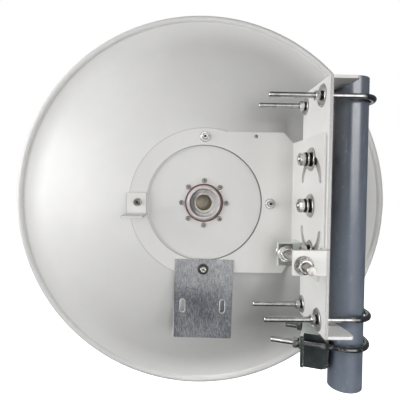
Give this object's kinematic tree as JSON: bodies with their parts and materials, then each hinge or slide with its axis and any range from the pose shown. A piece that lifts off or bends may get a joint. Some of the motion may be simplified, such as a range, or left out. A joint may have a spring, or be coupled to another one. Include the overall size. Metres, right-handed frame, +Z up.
{
  "type": "parabolic dish antenna",
  "caption": "Parabolic microwave dish with a centre feed, tilted by an offset sheet-steel mount that U-bolts clamp to a short mast stub.",
  "frame": {"origin": "centre of the flat foot of the mast stub, on its axis", "axes": "+Z up along the mast, +Y the way the dish looks, +X from the dish towards the mast"},
  "size_m": [0.7, 0.3241, 0.7],
  "materials": {
    "bowl_paint": "satin white powder coat on spun aluminium",
    "white_paint": "white powder coat on folded steel sheet",
    "mast_paint": "blue-grey gloss paint on steel tube",
    "black_paint": "black paint on pressed steel",
    "seal_rubber": "red-brown rubber",
    "feed_plastic": "off-white dielectric",
    "feed_metal": "satin machined aluminium",
    "bright_zinc": "bright zinc plate",
    "zinc": "zinc plate"
  },
  "bodies": {
    "mount": {"elevation_bolt_1": "zinc", "elevation_bolt_2": "zinc", "elevation_bolt_3": "zinc", "mast": "mast_paint", "pole_bracket": "white_paint", "support_clamp": "black_paint", "tab_nut_far": "zinc", "tab_nut_near": "zinc", "u_bolt_low": "bright_zinc", "u_bolt_support": "bright_zinc", "u_bolt_top": "bright_zinc", "u_nut_1": "zinc", "u_nut_2": "zinc", "u_nut_3": "zinc", "u_nut_4": "zinc", "u_nut_5": "zinc", "u_nut_6": "zinc"},
    "dish": {"adjuster_lug": "zinc", "feed_cone": "feed_plastic", "feed_port": "feed_metal", "feed_tube": "feed_metal", "lug_bolt_1": "bright_zinc", "lug_bolt_2": "bright_zinc", "mounting_plate": "white_paint", "port_seal": "seal_rubber", "reflector": "bowl_paint", "ring_screw_1": "bright_zinc", "ring_screw_2": "bright_zinc", "ring_screw_3": "bright_zinc", "ring_screw_4": "bright_zinc", "side_bracket": "white_paint", "slotted_plate": "zinc", "subreflector": "feed_metal"},
    "adjuster": {"adjusting_rod": "zinc", "lug_nut_near": "zinc", "lug_nut_far": "zinc"}
  },
  "joints": [
    {"name": "elevation", "type": "hinge", "parent": "mount", "child": "dish", "pos_m": [-0.0567, -0.006, 0.266], "axis": [1, 0, 0], "range_deg": [-10, 10]},
    {"name": "adjuster_slide", "type": "slide", "parent": "mount", "child": "adjuster", "axis": [0, 1, 0], "range_m": [-0.0131, 0.0131]}
  ],
  "couplings": [
    {"joint": "adjuster_slide", "follows": "elevation", "m_per_rad": 0.074}
  ]
}
